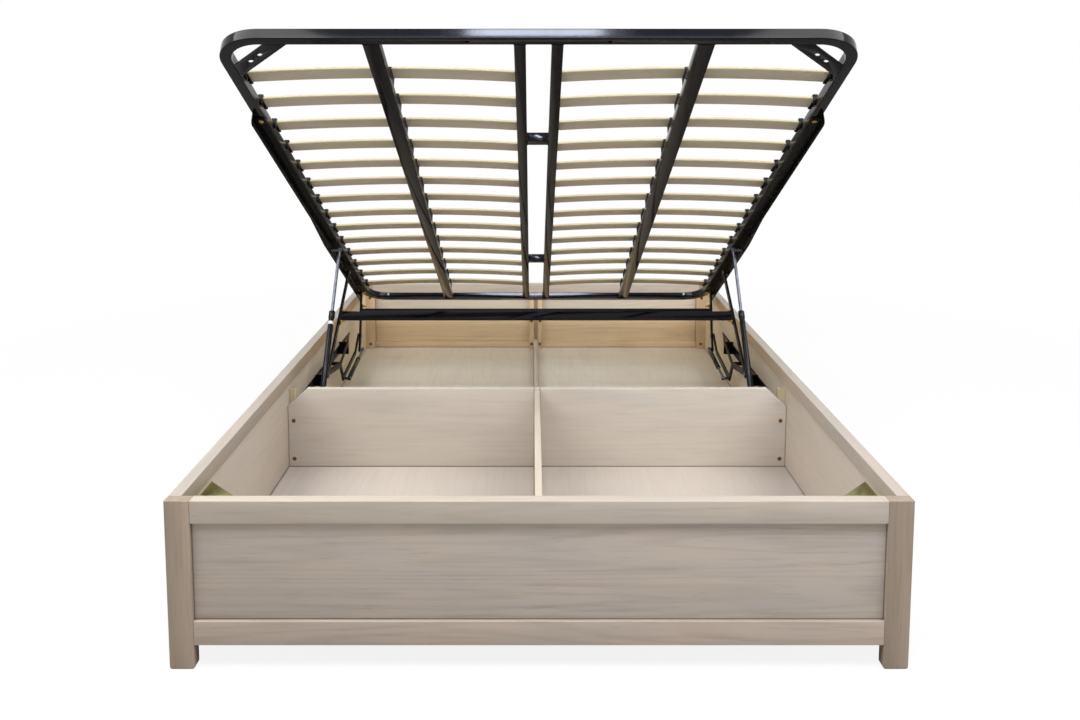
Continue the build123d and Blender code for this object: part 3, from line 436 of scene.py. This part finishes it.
def gathered(name, skins, material, body, slot, *replaced, crease=40):
    """One piece from several closed skins, each an array of rings by corners by xyz."""
    points, faces, count = [], [], 0
    for skin in skins:
        rings, corners = skin.shape[:2]
        faces += tube_faces(rings, corners, count)
        points.append(skin.reshape(-1, 3))
        count += rings * corners
    return shaped(name, np.concatenate(points), faces, material, body, slot, *replaced,
                  crease=crease)


open_tilt = math.radians(28.7)
platform_edge_y = 0.865
platform_edge_z = 0.3209


def raised(across, from_head, above):
    """Points of the open platform. from_head and above are measured along and square to its
    plane, which slopes up towards the foot, from its lowest edge."""
    y = platform_edge_y - from_head * math.cos(open_tilt) + above * math.sin(open_tilt)
    z = platform_edge_z + from_head * math.sin(open_tilt) + above * math.cos(open_tilt)
    return np.stack(np.broadcast_arrays(across, y, z), axis=-1)


def layered_veneer(name):
    """Layered birch strip, pressed and sealed: fibres along it, drawn 4 mm wide, and on the
    long edges yellower end grain and glue lines 3.2 mm apart, both coarser than life so that
    they show. Each point carries its height in mm and whether it is on a cut edge."""
    material, tree, shader, place = begin_finish(name)
    fibres = add(tree, "ShaderNodeMapping", {"Scale": (5.0, 260.0, 260.0)},
                 [("Vector", place, "Object")])
    fibre = add(tree, "ShaderNodeTexNoise", {"Scale": 1.0, "Detail": 4.0, "Roughness": 0.6},
                [("Vector", fibres, 0)])
    patches = add(tree, "ShaderNodeMapping", {"Scale": (1.6, 16.0, 16.0)},
                  [("Vector", place, "Object")])
    patch = add(tree, "ShaderNodeTexNoise", {"Scale": 1.0, "Detail": 3.0},
                [("Vector", patches, 0)])
    tint = add(tree, "ShaderNodeMapRange", {"From Min": 0.35, "From Max": 0.7},
               [("Value", patch, 0)])
    shade = add(tree, "ShaderNodeMix", {6: from_hex("#c6bdaa"), 7: from_hex("#bdb39f")},
                [(0, tint, 0)], data_type="RGBA")
    lines = add(tree, "ShaderNodeMapRange", {"From Min": 0.52, "From Max": 0.74, "To Max": 0.25},
                [("Value", fibre, 0)])
    height = add(tree, "ShaderNodeAttribute", attribute_name="layer_height")
    layer = add(tree, "ShaderNodeMath", {1: 1.6}, [(0, height, "Fac")], operation="PINGPONG")
    glue = add(tree, "ShaderNodeMapRange", {"From Min": 1.35, "From Max": 1.6, "To Max": 0.5},
               [("Value", layer, 0)])
    edge = add(tree, "ShaderNodeAttribute", attribute_name="cut_edge")
    end_grain = add(tree, "ShaderNodeMath", {1: 0.7}, [(0, edge, "Fac")], operation="MULTIPLY")
    for mark, colour in ((lines, "#ab9a7c"), (glue, "#9c8a68"), (end_grain, "#b0a57c")):
        shade = add(tree, "ShaderNodeMix", {7: from_hex(colour)}, [(0, mark, 0), (6, shade, 2)],
                    data_type="RGBA")
    tree.links.new(shade.outputs[2], shader.inputs["Base Color"])
    shader.inputs["Roughness"].default_value = 0.5
    bump = add(tree, "ShaderNodeBump", {"Strength": 0.2, "Distance": 0.0003},
               [("Height", fibre, 0)])
    tree.links.new(bump.outputs[0], shader.inputs["Normal"])
    return material


slat_count = 14
slat_first = 0.135
slat_pitch = 0.126
slat_middle = 0.36
slat_half_length = 0.3245
slat_half_width = 0.0225
slat_half_thickness = 0.004
slat_rounding = 0.003
slat_rise = 0.011
slat_above_plane = 0.031
slat_stations = 37
slat_corners = 24


def bowed_slats(side, name):
    """Fourteen strips, 45 x 8 mm with edges rounded to 3 mm. The profile is a rounded
    rectangle, carried along x on an arc that rises 11 mm at the middle, and it stays square
    to that arc."""
    corner = np.repeat([0, 1, 2, 3], slat_corners // 4)
    angle = np.radians(np.tile(np.linspace(0, 90, slat_corners // 4), 4) + 90 * corner)
    flat_half = (slat_half_width - slat_rounding) * np.array([1, -1, -1, 1])[corner]
    thick_half = (slat_half_thickness - slat_rounding) * np.array([1, 1, -1, -1])[corner]
    reach = (flat_half + slat_rounding * np.cos(angle))[::-side]
    height = (thick_half + slat_rounding * np.sin(angle))[::-side]
    along = np.linspace(-1, 1, slat_stations)[:, None]
    lean = -2 * slat_rise * along / slat_half_length
    across = slat_middle + slat_half_length * along - height * lean
    above = slat_above_plane + slat_rise * (1 - along**2) + height
    strips = [raised(side * across, slat_first + slat_pitch * number + reach, above)
              for number in range(slat_count)]
    piece = gathered("bowed_" + name, strips, veneer, "platform", "slat_wood", name)
    # The height is raised by 8 mm so that it stays positive, with a glue line in the middle.
    rings = slat_count * slat_stations
    for key, value in (("layer_height", height * 1000 + 8.0),
                       ("cut_edge", np.abs(reach) > slat_half_width - 0.0011)):
        carried = piece.data.attributes.new(key, "FLOAT", "POINT")
        carried.data.foreach_set("value", np.tile(value, rings).astype(np.float32))


veneer = layered_veneer("layered_birch_slat")
bowed_slats(-1, "slats_left")
bowed_slats(1, "slats_right")

# Slat fittings: moulded polypropylene sleeves hooked over the tubes, and saddles on the bars.
# The plastic is matt beside the tube, and its highlights are broad and weak.
cup_plastic = smooth_skin("black_polypropylene", "#09090a", 0.50, 0.15, 0.10)
for node in ("slat_end_holders", "slat_centre_holders", "slat_saddles"):
    eased(node, 0.0006, cup_plastic, "platform", "holder_plastic")


# Welds of the platform: fillet beads where the beams, ties and bars butt on the tube. They
# lie under the powder coat, with the ripple that a hand torch leaves.
def bead(start, end):
    """A weld bead: a ring of 8 points carried from start to end. Its radius ripples by a
    fifth every 2.4 mm and falls to nothing at both ends."""
    start, end = np.array(start), np.array(end)
    length = np.linalg.norm(end - start)
    run = np.linspace(0, 1, int(length / 0.0006) + 4)
    ripple = 1 + 0.2 * np.sin(2 * np.pi * run * length / 0.0024)
    girth = bead_radius * ripple * np.sqrt(np.clip(4 * run * (1 - run) * 6, 0.004, 1))
    along = (end - start) / length
    side = np.cross(along, [0.0, 0.6, 0.8])
    side /= np.linalg.norm(side)
    other = np.cross(along, side)
    angle = np.arange(8) * np.pi / 4
    ring = np.cos(angle)[:, None] * side + np.sin(angle)[:, None] * other
    return (start + run[:, None] * (end - start))[:, None] + girth[:, None, None] * ring


bead_radius = 0.0017
tube_width = 0.025
ring_inside_head = 0.025
ring_inside_foot = 1.96
ring_inside_edge = 0.6675
bar_width, bar_height, bar_middle = 0.036, 0.020, 0.35375
beam_middle = 0.04
beam_inner_side = 0.0275
tie_places = (0.502, 1.483)
gusset_near, gusset_far = 0.09, 0.13

beads = []
for side in (-1, 1):
    open_runs = []
    for from_head, width, height, middle in (
        (ring_inside_head, tube_width, tube_width, beam_middle),
        (ring_inside_foot, tube_width, tube_width, beam_middle),
        (ring_inside_head, bar_width, bar_height, bar_middle),
        (ring_inside_foot, bar_width, bar_height, bar_middle),
    ):
        left, right = side * middle - width / 2, side * middle + width / 2
        open_runs.append([raised(x, from_head, above) for x, above in
                          ((left, height), (left, 0.0), (right, 0.0), (right, height))])
    for from_head in tie_places:
        near, far = from_head - tube_width / 2, from_head + tube_width / 2
        open_runs.append([raised(side * beam_inner_side, place, above) for place, above in
                          ((near, tube_width), (near, 0.0), (far, 0.0), (far, tube_width))])
    open_runs.append([raised(side * ring_inside_edge, ring_inside_foot - step, 0.001)
                      for step in (gusset_near, gusset_far)])
    open_runs.append([raised(side * (ring_inside_edge - step), ring_inside_foot, 0.001)
                      for step in (gusset_near, gusset_far)])
    for run in open_runs:
        beads += [bead(start, end) for start, end in zip(run, run[1:])]
gathered("platform_welds", beads, tube_coat, "platform", "black_steel", crease=180)


# Bolts, brackets and pins: turned or pressed steel, zinc plated and passivated. The thin film
# shifts in hue over a few mm, so that plain parts look brassy, greenish or grey in patches.
def plated(name, colour, second, roughness, patch_scale):
    """Plated steel: a metal that drifts between two hues in patches. patch_scale is how many
    of them there are in a metre."""
    material, tree, shader, place = begin_finish(name)
    film = add(tree, "ShaderNodeTexNoise", {"Scale": patch_scale, "Detail": 3.0},
               [("Vector", place, "Object")])
    share = add(tree, "ShaderNodeMapRange", {"From Min": 0.4, "From Max": 0.62},
                [("Value", film, 0)])
    hue = add(tree, "ShaderNodeMix", {6: from_hex(colour), 7: from_hex(second)},
              [(0, share, 0)], data_type="RGBA")
    tree.links.new(hue.outputs[2], shader.inputs["Base Color"])
    shader.inputs["Metallic"].default_value = 1.0
    shader.inputs["Roughness"].default_value = roughness
    return material


brass_plate = plated("yellow_zinc_bolt", "#d0b25e", "#b99646", 0.30, 90.0)
bracket_plate = plated("yellow_passivated_zinc", "#9d9560", "#8a8757", 0.36, 22.0)
pin_plate = plated("dull_zinc_pin", "#6b6c70", "#55565a", 0.34, 120.0)
eased("rail_bolts", 0.0007, brass_plate, "platform", "brass_bolt")
eased("base_bolts", 0.0007, brass_plate, "box", "brass_bolt")
for side in ("left", "right"):
    eased("corner_bracket_" + side, 0.0003, bracket_plate, "box", "yellow_zinc")
eased("base_pins", 0.0008, pin_plate, "box", "bright_steel")
eased("platform_pins", 0.0008, pin_plate, "platform", "bright_steel")


# Wood screws: steel, bronzed dark, with a domed head and a cross recess, driven through the
# divider's ends and the battens. They show as small brown dots with a bright rim.
def screw_head(x, y, z):
    """A domed head that looks to -y. The dome is 2 mm high over a radius of 6 mm, as a flat
    circle would bulge, less a cross 1.1 mm wide and deep near the middle."""
    radius = np.concatenate([np.linspace(0.0002, 0.0058, 22), [0.006, 0.006]])[:, None]
    angle = np.arange(48) * np.pi / 24
    across, up = radius * np.cos(angle), radius * np.sin(angle)
    bulge = 0.0019 * np.sqrt(np.clip(1 - (radius / 0.0062) ** 2, 0, 1))
    bulge[-1] = 0.0
    narrow = np.minimum(np.abs(across), np.abs(up))
    long = np.maximum(np.abs(across), np.abs(up))
    cut = (0.0011 * np.clip((0.0007 - narrow) / 0.0003, 0, 1)
           * np.clip((0.0032 - long) / 0.0006, 0, 1))
    return np.stack(np.broadcast_arrays(x - across, y - bulge + cut, z + up), axis=-1)


screw_plate = plated("bronzed_screw", "#8a6f45", "#6e5635", 0.38, 300.0)
screws = []
for side in (-1, 1):
    for x, y, heights in ((0.7065, -0.230, (0.102, 0.216)), (0.7045, 1.004, (0.098, 0.2975)),
                          (0.018, 1.006, (0.098, 0.19775, 0.2975))):
        screws += [screw_head(side * x, y, z) for z in heights]
gathered("cross_recess_screws", screws, screw_plate, "box", "dark_screw", "wood_screws")


# Crossbar bolts: yellow-plated steel, through the link and the crossbar's end plate, with a
# domed head outside, a nut on the inside and a stub of thread that stands out of it.
def lathe(profile, start, end):
    """Rings of 40 points: each (radius, distance) of the profile turned about the line from
    start to end, both in metres."""
    start, end = np.array(start, float), np.array(end, float)
    along = (end - start) / np.linalg.norm(end - start)
    side = np.cross(along, [0.0, 0.0, 1.0])
    side /= np.linalg.norm(side)
    other = np.cross(along, side)
    angle = np.arange(40) * np.pi / 20
    radius, distance = np.array(profile, float).T
    ring = np.cos(angle)[:, None] * side + np.sin(angle)[:, None] * other
    return start + distance[:, None, None] * along + radius[:, None, None] * ring


def rings_along_x(x0, x1, run, y, z, angle, girth):
    """Rings of points about a line along x, at the shares run of the way from x0 to x1, and
    turned so that their faces point outwards."""
    x = np.broadcast_to(x0 + (x1 - x0) * run, girth.shape)
    turn = 1 if x1 > x0 else -1
    return np.stack([x, y + girth * np.cos(angle) * turn, z + girth * np.sin(angle)], axis=-1)


def thread(x0, x1, y, z, radius, pitch):
    """A threaded stub along x: the radius falls by six tenths of the pitch in a saw-tooth
    that climbs one pitch for each turn, and the tip is chamfered."""
    turns = abs(x1 - x0) / pitch
    run = np.linspace(0, 1, int(turns * 6) + 2)[:, None]
    angle = np.arange(24) * np.pi / 12
    phase = (run * turns - angle / (2 * np.pi)) % 1
    girth = radius - 0.6 * pitch * np.abs(2 * phase - 1)
    girth = np.minimum(girth, radius * (0.7 + 6 * (1 - run)))
    return rings_along_x(x0, x1, run, y, z, angle, girth)


def hexagon(x0, x1, y, z, corner):
    """A nut along x: a hexagon whose corners are cut to a circle at both faces."""
    angle = np.arange(48) * np.pi / 24
    flat = corner * math.cos(math.pi / 6) / np.cos((angle + np.pi / 6) % (np.pi / 3) - np.pi / 6)
    rim = np.minimum(flat, corner * 0.92)
    centre = np.full(48, corner * 0.05)
    girth = np.stack([centre, rim, flat, flat, rim, centre])
    run = np.array([0, 0, 0.12, 0.88, 1, 1])[:, None]
    return rings_along_x(x0, x1, run, y, z, angle, girth)


bolt_head = [(0.005, 0.0), (0.005, 0.0003), (0.0042, 0.0008), (0.003, 0.00096), (0.0004, 0.001)]
for node, body, holes in (
    ("front_crossbar_bolts", "lift_links", ((0.31313, 0.41044), (0.27433, 0.38218))),
    ("rear_crossbar_bolts", "rear_links", ((0.67762, 0.33994), (0.66711, 0.29310))),
):
    bolts = []
    for side in (-1, 1):
        for y, z in holes:
            bolts.append(thread(side * 0.6692, side * 0.658, y, z, 0.003, 0.0012))
            bolts.append(hexagon(side * 0.674, side * 0.669, y, z, 0.005))
            bolts.append(lathe(bolt_head, (side * 0.683, y, z), (side * 0.684, y, z)))
    gathered(node + "_threaded", bolts, brass_plate, body, "brass_bolt", node)


# Gas struts and dampers: steel cylinders in black enamel, which shows long streaks of light,
# and ground and chromed rods, a soft grey. Each has a crimped shoulder, a guide at the rod's
# mouth, an eye at both ends and a stud. The left strut alone has a white plastic band.
def cylinder_profile(radius, rod_radius, guide_radius, guide_length, length):
    """The cylinder, from its fitting to the mouth: a neck, the body with a rolled groove near
    its end, and the guide, with a mouth 4 mm deep round the rod."""
    shoulder, neck, mouth = length - guide_length, rod_radius, rod_radius * 1.05
    return [
        (0.0004, 0.0), (neck, 0.0), (neck, 0.011), (radius * 0.7, 0.0125),
        (radius * 0.93, 0.0145), (radius, 0.018), (radius, shoulder - 0.008),
        (radius * 0.93, shoulder - 0.0065), (radius * 0.93, shoulder - 0.0045),
        (radius, shoulder - 0.003), (radius, shoulder), (guide_radius * 0.97, shoulder),
        (guide_radius, shoulder + 0.001), (guide_radius, length - 0.002),
        (guide_radius * 0.93, length), (mouth, length), (mouth, length - 0.004),
        (0.0004, length - 0.004),
    ]


def rod_profile(radius, reach):
    """The rod, from its eye inwards: a screwed-on end piece, a thin groove and the rod."""
    return [(0.0004, 0.0), (radius * 1.07, 0.0), (radius * 1.07, 0.026), (radius * 0.8, 0.0275),
            (radius, 0.0285), (radius, reach), (0.0004, reach)]


def eye(radius, width, x, y, z):
    """A chamfered barrel across the end of a cylinder or rod, centred on (x, y, z)."""
    profile = [(0.0004, 0.0), (radius * 0.8, 0.0), (radius, 0.0012), (radius, width - 0.0012),
               (radius * 0.8, width), (0.0004, width)]
    start = x - width / 2
    return lathe(profile, (start, y, z), (start + width, y, z))


def stud(inner, outer, y, z):
    """A plain pin of 5 mm radius along x, from the eye to the plate that carries it."""
    length = abs(outer - inner)
    return lathe([(0.0004, 0.0), (0.005, 0.0), (0.005, length), (0.0004, length)],
                 (inner, y, z), (outer, y, z))


strut_enamel = smooth_skin("black_cylinder_enamel", "#090b11", 0.16, 0.05, 0.16)
band_plastic = smooth_skin("white_shrink_band", "#c9cbcd", 0.4, 0.1, 0.3)
bright_plate = plated("ground_chromed_steel", "#6e727c", "#5d616b", 0.40, 60.0)
springs = {
    "strut": {
        "cylinder": (0.009, 0.005, 0.010, 0.024, 0.330), "rod": (0.005, 0.240),
        "eye": (0.008, 0.0115), "plane": 0.664, "stud_end": 0.6922,
        "low": (-0.084, 0.189), "high": (0.236361, 0.636568),
    },
    "damper": {
        "cylinder": (0.008, 0.004, 0.0085, 0.009, 0.175), "rod": (0.004, 0.125),
        "eye": (0.007, 0.009), "plane": 0.667, "stud_end": 0.6767,
        "low": (0.365, 0.152), "high": (0.631373, 0.18265),
    },
}
for kind, size in springs.items():
    for side, hand in ((-1, "left"), (1, "right")):
        turned_round = kind == "damper" and side > 0
        fixed, moving = (size["high"], size["low"]) if turned_round else (size["low"], size["high"])
        x = side * size["plane"]
        base, tip = (x, *fixed), (x, *moving)
        cylinder = [lathe(cylinder_profile(*size["cylinder"]), base, tip), eye(*size["eye"], *base)]
        rod = [lathe(rod_profile(*size["rod"]), tip, base), eye(*size["eye"], *tip)]
        eye_side = size["plane"] + size["eye"][1] / 2 - 0.001
        (cylinder if turned_round else rod).append(
            stud(side * eye_side, side * size["stud_end"], *size["high"]))
        node = kind + "_cylinder_" + hand
        gathered(node + "_turned", cylinder, strut_enamel, kind + "_cylinder_body_" + hand,
                 "black_steel", node)
        if node == "strut_cylinder_left":
            band = lathe([(0.0088, 0.284), (0.0093, 0.2845), (0.0093, 0.2945), (0.0088, 0.295)],
                         base, tip)
            closed_loop = np.array(tube_faces(5, 40)[:-2]) % (4 * 40)
            shaped("strut_band", band, closed_loop.tolist(), band_plastic,
                   "strut_cylinder_body_left", "holder_plastic")
        node = kind + "_rod_" + hand
        gathered(node + "_turned", rod, bright_plate, kind + "_rod_body_" + hand,
                 "bright_steel", node)
